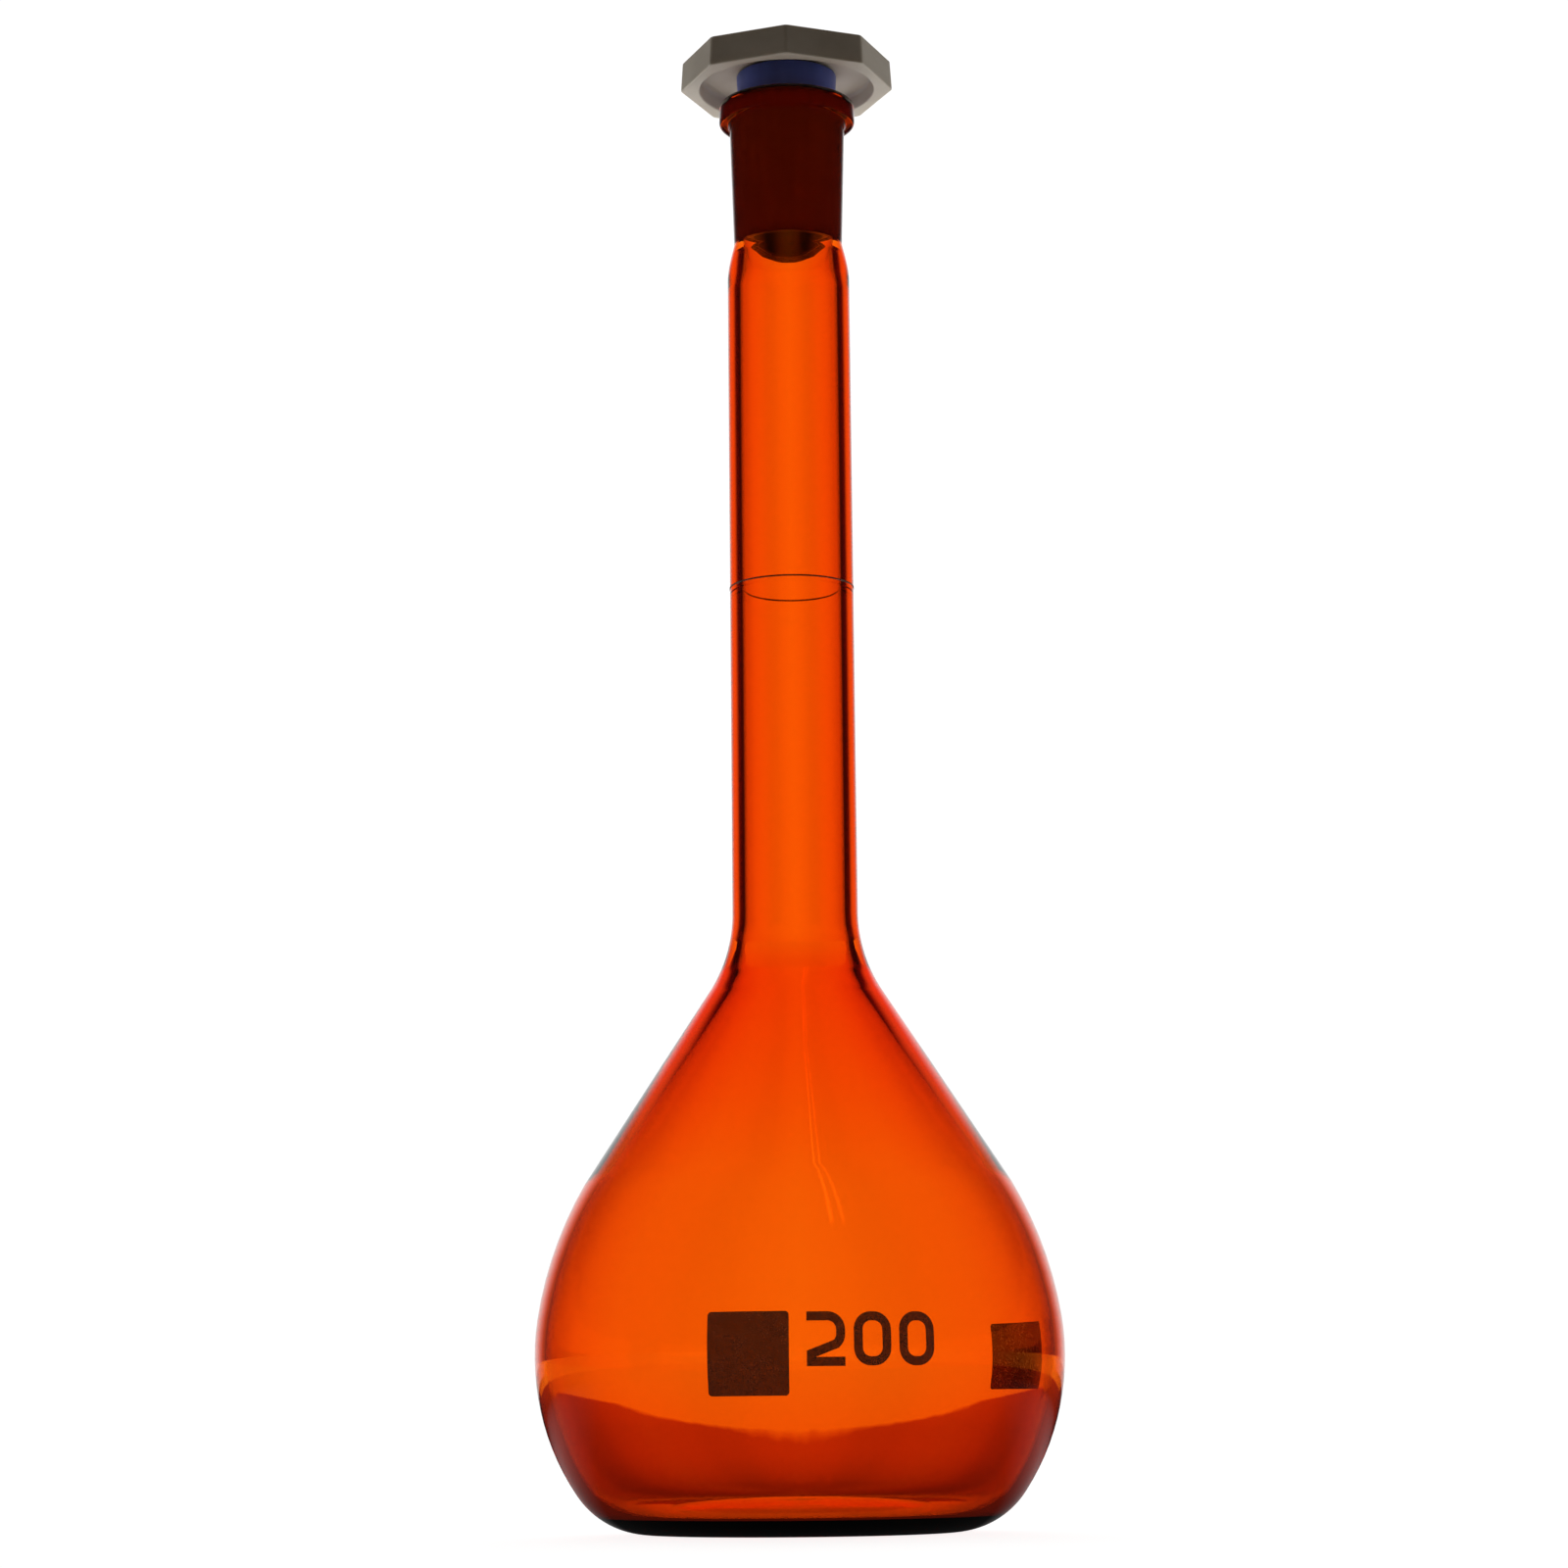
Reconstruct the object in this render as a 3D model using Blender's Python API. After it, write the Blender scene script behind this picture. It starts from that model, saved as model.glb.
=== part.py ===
"""Volumetric flask of 200 ml with a push-in stopper, 1:10 ground taper joint.

Metres, +Z up. The origin is on the flask's axis, on the surface it stands on.
The front, with the enamel marks, faces -Y.
"""
from math import atan2, cos, pi, radians, sin, sqrt

import bmesh
import bpy
import numpy as np

for old in list(bpy.data.objects):
    bpy.data.objects.remove(old, do_unlink=True)

# ---------------------------------------------------------------- driving dimensions
GLASS_HEIGHT = 0.2052          # foot to rim, without the stopper
BODY_DIAMETER = 0.0733
NECK_DIAMETER = 0.0177         # outside
WALL = 0.00125                 # glass of bulb and neck

FOOT_BAND = 0.0033             # width of the flat ring that the flask stands on
PUSH_UP = 0.0016               # rise of the pushed-up floor at its centre
HEEL_BEND = 0.0121             # outside radii of the bulb's outline, from the foot upwards
BELLY_BEND = 0.0338
SHOULDER_BEND = 0.0527
NECK_BEND = 0.0209
HEEL_TURN = radians(55.7)      # where the heel's arc hands over to the belly's
BELLY_RISE = radians(9.2)      # how far the belly's arc goes on above the widest level
CONE_LEAN = radians(33.3)      # upper bulb, from vertical

JOINT_DIAMETER = 0.0145        # wide end of the ground taper
JOINT_LENGTH = 0.023
JOINT_TAPER = 0.1              # loss of diameter over length
SOCKET_WALL_TOP = 0.0010
SOCKET_WALL_FOOT = 0.0016
SOCKET_SHOULDER = 0.0057       # height over which the socket swells to the neck
COLLAR_PROUD = 0.0015          # how far the collar stands out from the socket
COLLAR_HEIGHT = 0.0030
COLLAR_EDGE = 0.0007           # rounding of the collar's outer edges

PLUG_DEPTH = 0.0212            # below the rim
PLUG_WALL = 0.0010
PLUG_NOSE = 0.0004             # rounding of the plug's lower edge
SPIGOT_DIAMETER = 0.0080       # stub on the plug that the cap is pressed on
SPIGOT_LENGTH = 0.0010

CAP_FLATS = 0.0289             # across flats, at the lower rim
CAP_HEIGHT = 0.0044
CAP_TOP_PLATE = 0.0020
CAP_DRAFT = 0.00023            # loss of half width from rim to top
CAP_RIM = 0.0016               # least wall around the recess
CAP_SIDES = 8
CAP_EDGE = 0.00025             # bevel of the cap's outer edges
CAP_ABOVE_RIM = 0.00235        # cap's lower rim over the glass rim

SEAT_GAP = 0.0003              # clearance between two seated pieces
ENAMEL = 0.0002                # thickness of a fired-on mark

RING_ABOVE_BULB = 0.0467       # graduation ring over the neck's lower end
RING_WIDTH = 0.00035
MARK_LEVEL = 0.0237            # height of the marks' centre line on the bulb
SQUARE_SIDE = 0.0108
SQUARE_ACROSS = -0.0068        # round the bulb from the front, + towards +X
FIELD_CORNER = 0.0012          # rounding of the enamel fields
FIELD_STEP = 0.0018            # facet length across a field
FIGURE_HEIGHT = 0.0070
FIGURE_WIDTH = 0.0049
FIGURE_STROKE = 0.0010
FIGURE_PITCH = 0.00614
FIGURES_GAP = 0.0024           # from the square to the first figure
FIGURES_RISE = 0.0018          # above the marks' centre line
HOOK_START = radians(160)      # sweep of the two's upper bend
HOOK_END = radians(-35)
PATCH_WIDTH = 0.0165           # stippled field behind
PATCH_HEIGHT = 0.0106
PATCH_ACROSS = 0.0736

SIDES = 40                     # facets round a turned piece
ARC_STEP = radians(7.5)
AXIS_MERGE = 0.00001           # joins a turned piece's points on the axis
CREASE = radians(30)           # edges sharper than this stay sharp

# ---------------------------------------------------------------- what follows from them
body_radius = BODY_DIAMETER / 2
neck_radius = NECK_DIAMETER / 2
foot_radius = body_radius - HEEL_BEND * sin(HEEL_TURN) - BELLY_BEND * (1 - sin(HEEL_TURN))
joint_mouth = (JOINT_DIAMETER + SEAT_GAP) / 2
plug_mouth = (JOINT_DIAMETER - SEAT_GAP) / 2
collar_radius = joint_mouth + SOCKET_WALL_TOP + COLLAR_PROUD
socket_foot = GLASS_HEIGHT - JOINT_LENGTH
cap_ceiling = CAP_HEIGHT - CAP_TOP_PLATE
plug_top = CAP_ABOVE_RIM + cap_ceiling - SEAT_GAP
first_figure_across = SQUARE_ACROSS + SQUARE_SIDE / 2 + FIGURES_GAP + FIGURE_WIDTH / 2


# ---------------------------------------------------------------- outlines
def arc(start, radius, turn_from, turn_to, side=1):
    """Points after start along a tangent arc; a turn of 0 runs outwards, of pi/2 upwards."""
    steps = max(2, round(abs(turn_to - turn_from) / ARC_STEP))
    turns = np.linspace(turn_from, turn_to, steps + 1)[1:]
    across = [start[0] + side * radius * (sin(turn) - sin(turn_from)) for turn in turns]
    up = [start[1] + side * radius * (cos(turn_from) - cos(turn)) for turn in turns]
    return list(zip(across, up))


def bulb_outline(inset):
    """Foot's outer edge to the neck, as (radius, height); inset is the depth into the glass."""
    upright = pi / 2
    neck = neck_radius - inset
    line = [(foot_radius, inset)]
    line += arc(line[-1], HEEL_BEND - inset, 0, HEEL_TURN)
    line += arc(line[-1], BELLY_BEND - inset, HEEL_TURN, upright + BELLY_RISE)
    line += arc(line[-1], SHOULDER_BEND - inset, upright + BELLY_RISE, upright + CONE_LEAN)
    cone_top = neck + (NECK_BEND + inset) * (1 - cos(CONE_LEAN))
    cone_rise = (line[-1][0] - cone_top) / sin(CONE_LEAN) * cos(CONE_LEAN)
    line.append((cone_top, line[-1][1] + cone_rise))
    line += arc(line[-1], NECK_BEND + inset, upright + CONE_LEAN, upright, side=-1)
    return line


def floor_outline(inset):
    """Pushed-up floor from the axis to the foot's inner edge."""
    edge = foot_radius - FOOT_BAND
    radius = (edge ** 2 + PUSH_UP ** 2) / (2 * PUSH_UP)
    spans = np.linspace(0, edge, 6)
    return [(span, inset + PUSH_UP - radius + sqrt(radius ** 2 - span ** 2)) for span in spans]


def swell(low, high, thin, wide):
    """Shoulder between the neck, at low with radius wide, and the socket, at high with thin."""
    shares = np.linspace(0, 1, 7)
    return [(thin + (wide - thin) * sin(share * pi / 2), high + (low - high) * share) for share in shares]


def flask_outline():
    """Inside from the floor's centre up to the rim, then the outside down to the foot."""
    taper = JOINT_TAPER / 2
    bore_foot = joint_mouth - taper * JOINT_LENGTH
    inside = floor_outline(WALL) + bulb_outline(WALL)
    inside += swell(socket_foot - SOCKET_SHOULDER, socket_foot, bore_foot, neck_radius - WALL)[::-1]
    collar_under = GLASS_HEIGHT - COLLAR_HEIGHT
    low_turn = [(collar_radius - COLLAR_EDGE * (1 - cos(t)), collar_under + COLLAR_EDGE * (1 - sin(t)))
                for t in np.linspace(0, pi / 2, 4)]
    top_turn = [(collar_radius - COLLAR_EDGE * (1 - sin(t)), GLASS_HEIGHT - COLLAR_EDGE * (1 - cos(t)))
                for t in np.linspace(0, pi / 2, 4)]
    rim = [(joint_mouth, GLASS_HEIGHT)] + top_turn + low_turn
    socket_start = socket_foot + SOCKET_WALL_FOOT
    outside = [(joint_mouth + SOCKET_WALL_TOP, collar_under)]
    outside += swell(socket_start - SOCKET_SHOULDER, socket_start, bore_foot + SOCKET_WALL_FOOT, neck_radius)
    return inside + rim + outside + (floor_outline(0) + bulb_outline(0))[::-1]


def plug_outline():
    """Top of the spigot down the outside, round the lower lip and up the hollow; rim level is 0."""
    taper = JOINT_TAPER / 2
    spigot = SPIGOT_DIAMETER / 2
    nose = plug_mouth - taper * PLUG_DEPTH
    hollow_top = plug_mouth + taper * plug_top - PLUG_WALL
    line = [(0, plug_top + SPIGOT_LENGTH), (spigot, plug_top + SPIGOT_LENGTH), (spigot, plug_top)]
    line.append((plug_mouth + taper * plug_top, plug_top))
    line.append((nose, PLUG_NOSE - PLUG_DEPTH))
    line.append((nose - PLUG_NOSE, -PLUG_DEPTH))
    line.append((nose - PLUG_WALL, -PLUG_DEPTH))
    line.append((hollow_top, plug_top - PLUG_WALL))
    line.append((0, plug_top - PLUG_WALL))
    return line


# ---------------------------------------------------------------- modelling
def material(name, colour, roughness, metallic=0.0):
    made = bpy.data.materials.new(name)
    made.use_nodes = True
    shader = made.node_tree.nodes["Principled BSDF"]
    shader.inputs["Base Color"].default_value = (*colour, 1)
    shader.inputs["Roughness"].default_value = roughness
    shader.inputs["Metallic"].default_value = metallic
    return made


def add(name, mesh, finish, height=0.0, rides_on=None):
    """Put a mesh in the scene, its origin on the flask's axis at a height."""
    made = bpy.data.objects.new(name, mesh)
    bpy.context.scene.collection.objects.link(made)
    mesh.materials.append(finish)
    made.parent = rides_on
    made.location.z = height - (rides_on.location.z if rides_on else 0)
    return made


def smooth(made):
    made.data.shade_smooth()
    made.data.set_sharp_from_angle(angle=CREASE)


def turned(name, outline, finish, height=0.0, rides_on=None, closed=False):
    """Sweep an outline of (radius, height) once round the axis."""
    mesh = bpy.data.meshes.new(name)
    count = len(outline)
    edges = [(i, (i + 1) % count) for i in range(count if closed else count - 1)]
    mesh.from_pydata([(radius, 0, level) for radius, level in outline], edges, [])
    made = add(name, mesh, finish, height, rides_on)
    screw = made.modifiers.new("turn", "SCREW")
    screw.steps = SIDES
    screw.render_steps = SIDES
    screw.use_merge_vertices = True
    screw.merge_threshold = AXIS_MERGE
    screw.use_smooth_shade = True
    return made


def prism(sides, low_radius, high_radius, low, high, phase=0.0):
    """Closed bmesh of a straight or tapering prism round the axis."""
    shape = bmesh.new()
    turns = [phase + 2 * pi * i / sides for i in range(sides)]
    bottom = [shape.verts.new((low_radius * cos(t), low_radius * sin(t), low)) for t in turns]
    top = [shape.verts.new((high_radius * cos(t), high_radius * sin(t), high)) for t in turns]
    shape.faces.new(bottom[::-1])
    shape.faces.new(top)
    for i in range(sides):
        j = (i + 1) % sides
        shape.faces.new((bottom[i], bottom[j], top[j], top[i]))
    return shape


def to_mesh(name, shape):
    mesh = bpy.data.meshes.new(name)
    shape.to_mesh(mesh)
    shape.free()
    return mesh


bulb_outside = np.array(bulb_outline(0))


def on_bulb(turn, level, lift):
    """Point over the bulb's front, turned from -Y towards +X, lifted off the glass."""
    radius = np.interp(level, bulb_outside[:, 1], bulb_outside[:, 0]) + lift
    return (radius * sin(turn), -radius * cos(turn), level)


def plate_mesh(name, grid):
    """Thin solid over the bulb from rows of (turn, level), each row running towards +X."""
    shape = bmesh.new()
    rows = len(grid)
    columns = len(grid[0])
    under, over = [[[shape.verts.new(on_bulb(turn, level, lift)) for turn, level in row] for row in grid]
                   for lift in (SEAT_GAP, SEAT_GAP + ENAMEL)]
    for i in range(rows - 1):
        for j in range(columns - 1):
            corners = ((i, j), (i, j + 1), (i + 1, j + 1), (i + 1, j))
            shape.faces.new([over[a][b] for a, b in corners])
            shape.faces.new([under[a][b] for a, b in reversed(corners)])
    border = [(0, j) for j in range(columns)] + [(i, columns - 1) for i in range(1, rows)]
    border += [(rows - 1, j) for j in range(columns - 2, -1, -1)] + [(i, 0) for i in range(rows - 2, 0, -1)]
    for (a, b), (c, d) in zip(border, border[1:] + border[:1]):
        shape.faces.new((under[a][b], under[c][d], over[c][d], over[a][b]))
    return to_mesh(name, shape)


def field_grid(across, width, height):
    """Rows of a rectangular field with rounded corners."""
    straight = height / 2 - FIELD_CORNER
    rounding = [straight + FIELD_CORNER * sin(t) for t in np.linspace(pi / 2, 0, 4)]
    levels = [-rise for rise in rounding] + list(np.linspace(-straight, straight, 5)[1:-1]) + rounding[::-1]
    grid = []
    for rise in levels:
        past = max(0.0, abs(rise) - straight)
        half = width / 2 - FIELD_CORNER + sqrt(max(0.0, FIELD_CORNER ** 2 - past ** 2))
        spans = np.linspace(across - half, across + half, round(width / FIELD_STEP))
        grid.append([(span / body_radius, MARK_LEVEL + rise) for span in spans])
    return grid


def stroke_grid(path, closed):
    """Two-column grid of a stroke of constant width along points (across, up)."""
    count = len(path)
    grid = []
    for i, (x, y) in enumerate(path):
        before = path[i - 1] if i or closed else path[i]
        after = path[(i + 1) % count] if i < count - 1 or closed else path[i]
        heading_in = atan2(y - before[1], x - before[0]) if before != path[i] else None
        heading_out = atan2(after[1] - y, after[0] - x) if after != path[i] else None
        heading_in = heading_out if heading_in is None else heading_in
        heading_out = heading_in if heading_out is None else heading_out
        bend = (heading_out - heading_in + pi) % (2 * pi) - pi
        reach = FIGURE_STROKE / 2 / cos(bend / 2)
        across = heading_in + bend / 2 + pi / 2
        grid.append([(x + side * reach * cos(across), y + side * reach * sin(across)) for side in (1, -1)])
    return grid


def zero_path():
    """Tall oval with straight sides."""
    half = (FIGURE_WIDTH - FIGURE_STROKE) / 2
    straight = FIGURE_HEIGHT / 2 - FIGURE_STROKE / 2 - half
    upper = [(half * cos(t), half * sin(t) + straight) for t in np.linspace(0, pi, 10)]
    return upper + [(-x, -y) for x, y in upper]


def two_path():
    """Hook, slanting stem and foot."""
    half = (FIGURE_WIDTH - FIGURE_STROKE) / 2
    top = FIGURE_HEIGHT / 2 - FIGURE_STROKE / 2
    hook = [(half * cos(t), top - half + half * sin(t)) for t in np.linspace(HOOK_START, HOOK_END, 10)]
    return hook + [(-half, -top), (half + FIGURE_STROKE / 2, -top)]


def figure_mesh(name, path, closed, slot):
    """One numeral, a stroke wrapped on the bulb; slot counts figures from the first one."""
    centre = (first_figure_across + slot * FIGURE_PITCH) / body_radius
    level = MARK_LEVEL + FIGURES_RISE
    shape = bmesh.new()
    bars = []
    for pair in stroke_grid(path, closed):
        left, right = [(centre + x / body_radius, level + y) for x, y in pair]
        places = [(left, SEAT_GAP), (right, SEAT_GAP), (right, SEAT_GAP + ENAMEL), (left, SEAT_GAP + ENAMEL)]
        bars.append([shape.verts.new(on_bulb(*place, lift)) for place, lift in places])
    for i in range(len(bars) if closed else len(bars) - 1):
        near = bars[i]
        far = bars[(i + 1) % len(bars)]
        for k in range(4):
            shape.faces.new((near[k], near[(k + 1) % 4], far[(k + 1) % 4], far[k]))
    if not closed:
        shape.faces.new(bars[0][::-1])
        shape.faces.new(bars[-1])
    bmesh.ops.recalc_face_normals(shape, faces=shape.faces)
    return to_mesh(name, shape)


# ---------------------------------------------------------------- the pieces
amber_glass = material("amber_glass", (0.55, 0.12, 0.01), 0.03)
blue_plastic = material("blue_plastic", (0.02, 0.03, 0.22), 0.35)
grey_plastic = material("grey_plastic", (0.42, 0.40, 0.36), 0.4)
brown_enamel = material("brown_enamel", (0.16, 0.12, 0.09), 0.6)
pale_enamel = material("pale_enamel", (0.5, 0.42, 0.34), 0.7)

flask_glass = turned("flask_glass", flask_outline(), amber_glass)


def make_plug():
    return turned("stopper_plug", plug_outline(), blue_plastic, GLASS_HEIGHT, flask_glass)


def make_cap(plug):
    """Eight-sided head, one corner to the front, with a round recess and a hole for the spigot."""
    base = GLASS_HEIGHT + CAP_ABOVE_RIM
    to_corner = 1 / cos(pi / CAP_SIDES)
    low = CAP_FLATS / 2 * to_corner
    high = (CAP_FLATS / 2 - CAP_DRAFT) * to_corner
    shape = prism(CAP_SIDES, low, high, 0, CAP_HEIGHT, -pi / 2)
    cap = add("stopper_cap", to_mesh("stopper_cap", shape), grey_plastic, base, plug)
    bevel = cap.modifiers.new("soft_edges", "BEVEL")
    bevel.width = CAP_EDGE
    bevel.segments = 1
    for name, radius, depth in (
            ("cap_recess_cutter", CAP_FLATS / 2 - CAP_RIM, cap_ceiling),
            ("cap_spigot_cutter", SPIGOT_DIAMETER / 2 + SEAT_GAP, cap_ceiling + SPIGOT_LENGTH + SEAT_GAP)):
        below = -CAP_ABOVE_RIM / 2
        tool = add(name, to_mesh(name, prism(SIDES, radius, radius, below, depth)), grey_plastic, base, plug)
        tool.hide_render = True
        tool.display_type = "WIRE"
        cut = cap.modifiers.new(name, "BOOLEAN")
        cut.operation = "DIFFERENCE"
        cut.object = tool
    return cap


def make_ring():
    """Line round the neck at the mark of the flask's capacity."""
    inner = neck_radius + SEAT_GAP
    outer = inner + ENAMEL
    half = RING_WIDTH / 2
    section = [(outer, half), (outer, -half), (inner, -half), (inner, half)]
    height = bulb_outside[-1, 1] + RING_ABOVE_BULB
    return turned("graduation_ring", section, brown_enamel, height, flask_glass, closed=True)


def make_marks():
    square = field_grid(SQUARE_ACROSS, SQUARE_SIDE, SQUARE_SIDE)
    patch = field_grid(PATCH_ACROSS, PATCH_WIDTH, PATCH_HEIGHT)
    add("writing_square", plate_mesh("writing_square", square), brown_enamel, 0, flask_glass)
    add("speckled_patch", plate_mesh("speckled_patch", patch), pale_enamel, 0, flask_glass)
    figures = (("figure_two", two_path(), False), ("figure_zero_left", zero_path(), True),
               ("figure_zero_right", zero_path(), True))
    for slot, (name, path, closed) in enumerate(figures):
        add(name, figure_mesh(name, path, closed, slot), brown_enamel, 0, flask_glass)


stopper_plug = make_plug()
stopper_cap = make_cap(stopper_plug)
smooth(stopper_cap)
make_ring()
make_marks()
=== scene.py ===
"""Amber volumetric flask with its stopper, put together from the glass upwards."""
from math import atan2, cos, pi, radians, sin, sqrt

import bmesh
import bpy
import numpy as np
from mathutils import Matrix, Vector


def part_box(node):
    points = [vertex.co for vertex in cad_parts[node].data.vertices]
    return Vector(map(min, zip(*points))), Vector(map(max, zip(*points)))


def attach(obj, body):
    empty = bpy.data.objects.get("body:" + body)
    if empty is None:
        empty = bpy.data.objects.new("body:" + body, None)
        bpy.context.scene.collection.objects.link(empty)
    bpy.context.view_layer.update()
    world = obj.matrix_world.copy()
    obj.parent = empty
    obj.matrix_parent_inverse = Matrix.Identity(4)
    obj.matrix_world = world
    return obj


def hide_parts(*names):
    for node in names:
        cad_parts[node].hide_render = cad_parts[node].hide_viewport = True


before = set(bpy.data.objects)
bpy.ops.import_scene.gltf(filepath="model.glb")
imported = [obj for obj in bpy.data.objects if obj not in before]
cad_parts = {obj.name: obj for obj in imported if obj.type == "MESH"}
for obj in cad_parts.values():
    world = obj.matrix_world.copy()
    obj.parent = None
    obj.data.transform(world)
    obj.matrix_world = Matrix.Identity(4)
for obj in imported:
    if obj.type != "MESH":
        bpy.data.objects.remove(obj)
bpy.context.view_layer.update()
upright = pi / 2

# ------------------------------------------------------------------ vessel
# One piece of amber borosilicate glass: a bulb blown on a drawn neck, with a pushed-up floor.
# The socket is pressed round a 1:10 mandrel and ground inside, and its collar is fire-polished.
rim_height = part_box("flask_glass")[1].z
body_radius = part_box("flask_glass")[1].x
ring_proud = 0.0005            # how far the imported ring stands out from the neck
neck_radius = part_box("graduation_ring")[1].x - ring_proud

heel_bend = 0.0121             # the bulb's outline, from the foot upwards
belly_bend = 0.0338
shoulder_bend = 0.0527
neck_bend = 0.0209
heel_turn = radians(55.7)
belly_rise = radians(9.2)
cone_lean = radians(33.3)
foot_radius = body_radius - heel_bend * sin(heel_turn) - belly_bend * (1 - sin(heel_turn))
foot_band = 0.0033
push_up = 0.0016

neck_wall = 0.00182
bulb_wall = 0.00155            # thinnest, round the belly
bulb_wall_top = 0.0025         # a little below the seam with the neck
belly_level = 0.045            # the wall gains from here up to the seam
seam_drop = 0.0036             # from the neck's lower end down to the seam
seam_margin = 0.005            # the wall has its full gain this far below the seam
seam_reach = 0.0046            # over this height below the seam it becomes the neck's wall
low_gain = 0.00025             # the bulb sags a little thicker towards its foot
sag_level = 0.024
floor_wall = 0.0026
floor_level = 0.010            # the floor lies wholly below this
floor_full = 0.0005            # past the foot's radius, the floor's wall starts to thin
floor_end = 0.0068             # past the foot's radius, it is the bulb's wall again
joint_length = 0.023
joint_mouth = 0.0074           # bore radius at the rim
joint_lean = 0.05              # loss of radius over depth
socket_wall = 0.0010
socket_wall_foot = 0.0016
socket_shoulder = 0.0057
collar_radius = 0.0099
collar_height = 0.0030

glass_pitch = 0.0002           # spacing of an outline's points while its corners are melted
wall_pitch = 0.0004
outer_melt = 0.00028
inner_melt = 0.0003
least_bend = radians(1.6)      # points that bend less than this are left out
longest_run = 0.02
vessel_sides = 320


def arc(start, radius, turn_from, turn_to, side=1):
    """Points after start along a tangent arc; a turn of 0 runs outwards, of pi/2 upwards."""
    turns = np.linspace(turn_from, turn_to, 30)[1:]
    across = start[0] + side * radius * (np.sin(turns) - sin(turn_from))
    up = start[1] + side * radius * (cos(turn_from) - np.cos(turns))
    return list(zip(across, up))


def bulb_outline():
    """Outside of the bulb, from the foot to the neck's lower end."""
    line = [(foot_radius, 0.0)]
    line += arc(line[-1], heel_bend, 0, heel_turn)
    line += arc(line[-1], belly_bend, heel_turn, upright + belly_rise)
    line += arc(line[-1], shoulder_bend, upright + belly_rise, upright + cone_lean)
    cone_top = neck_radius + neck_bend * (1 - cos(cone_lean))
    line.append((cone_top, line[-1][1] + (line[-1][0] - cone_top) / np.tan(cone_lean)))
    line += arc(line[-1], neck_bend, upright + cone_lean, upright, side=-1)
    return line


def floor_outline():
    """Pushed-up floor, from the axis to the inner edge of the foot's flat band."""
    edge = foot_radius - foot_band
    radius = (edge ** 2 + push_up ** 2) / (2 * push_up)
    spans = np.linspace(0, edge, 12)
    return list(zip(spans, push_up - radius + np.sqrt(radius ** 2 - spans ** 2)))


def evenly(line, pitch):
    """The same outline with a point every pitch along it."""
    line = np.array(line)
    run = np.concatenate(([0], np.cumsum(np.hypot(*np.diff(line, axis=0).T))))
    stops = np.linspace(0, run[-1], max(2, round(run[-1] / pitch) + 1))
    return np.column_stack([np.interp(stops, run, line[:, axis]) for axis in (0, 1)])


def softened(line, pitch, reach):
    """An outline with its corners melted round over about reach, its two ends kept."""
    line = evenly(line, pitch)
    spread = int(3 * reach / pitch)
    weights = np.exp(-0.5 * (np.arange(-spread, spread + 1) * pitch / reach) ** 2)
    weights /= weights.sum()
    mirrored = [2 * line[0] - line[spread:0:-1], line, 2 * line[-1] - line[-2:-spread - 2:-1]]
    padded = np.vstack(mirrored)
    return np.column_stack([np.convolve(padded[:, axis], weights, "valid") for axis in (0, 1)])


def thinned(line, most_turn, most_run):
    """An outline without the points that add less than most_turn of bend."""
    kept = [line[0]]
    for here, after in zip(line[1:-1], line[2:]):
        ahead = after - here
        behind = here - kept[-1]
        bend = abs((atan2(ahead[1], ahead[0]) - atan2(behind[1], behind[0]) + pi) % (2 * pi) - pi)
        if bend > most_turn or np.hypot(*behind) > most_run:
            kept.append(here)
    return kept + [line[-1]]


def inward(line, walls):
    """An outline moved into the glass by a wall of its own at each point."""
    ahead = np.gradient(line, axis=0)
    ahead /= np.hypot(ahead[:, 0], ahead[:, 1])[:, None]
    moved = line + np.column_stack((-ahead[:, 1], ahead[:, 0])) * walls[:, None]
    moved[:, 0] = np.maximum(moved[:, 0], 0)
    return moved


def swell(low, high, thin, wide):
    """Shoulder that swells from the socket, at high, down to the neck, at low."""
    shares = np.linspace(0, 1, 16)
    return [(thin + (wide - thin) * sin(share * upright), high + (low - high) * share)
            for share in shares]


def smooth_step(low, high, value):
    """0 up to low and 1 from high, with a soft rise between them."""
    share = np.clip((value - low) / (high - low), 0, 1)
    return share * share * (3 - 2 * share)


bulb = bulb_outline()
bulb_top = bulb[-1][1]
socket_foot = rim_height - joint_length
socket_start = socket_foot + socket_wall_foot
bore_foot = joint_mouth - joint_lean * joint_length
outside = floor_outline() + bulb
outside += swell(socket_start - socket_shoulder, socket_start,
                 bore_foot + socket_wall_foot, neck_radius)[::-1]
collar_under = rim_height - collar_height
outside += [(joint_mouth + socket_wall, collar_under), (collar_radius, collar_under),
            (collar_radius, rim_height), (joint_mouth, rim_height)]
outside = softened(outside, glass_pitch, outer_melt)

neck_end = (neck_radius, socket_foot - socket_shoulder)
lower = evenly(floor_outline() + bulb + [neck_end], wall_pitch)
heights = lower[:, 1]
spans = lower[:, 0]
upward = smooth_step(belly_level, bulb_top - seam_drop - seam_margin, heights)
walls = bulb_wall + upward * (bulb_wall_top - bulb_wall)
walls += low_gain * (1 - smooth_step(floor_level, sag_level, heights))
floor_share = 1 - smooth_step(foot_radius + floor_full, foot_radius + floor_end, spans)
on_floor = (heights < floor_level) * floor_share
walls += (floor_wall - walls) * on_floor
walls += (neck_wall - walls) * np.clip((heights - bulb_top + seam_drop) / seam_reach + 1, 0, 1)
inside = [tuple(point) for point in inward(lower, walls)]
inside += swell(socket_foot - socket_shoulder, socket_foot, bore_foot, neck_radius - neck_wall)[::-1]
inside += [(joint_mouth, rim_height)]
inside = softened(inside, glass_pitch, inner_melt)


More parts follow.
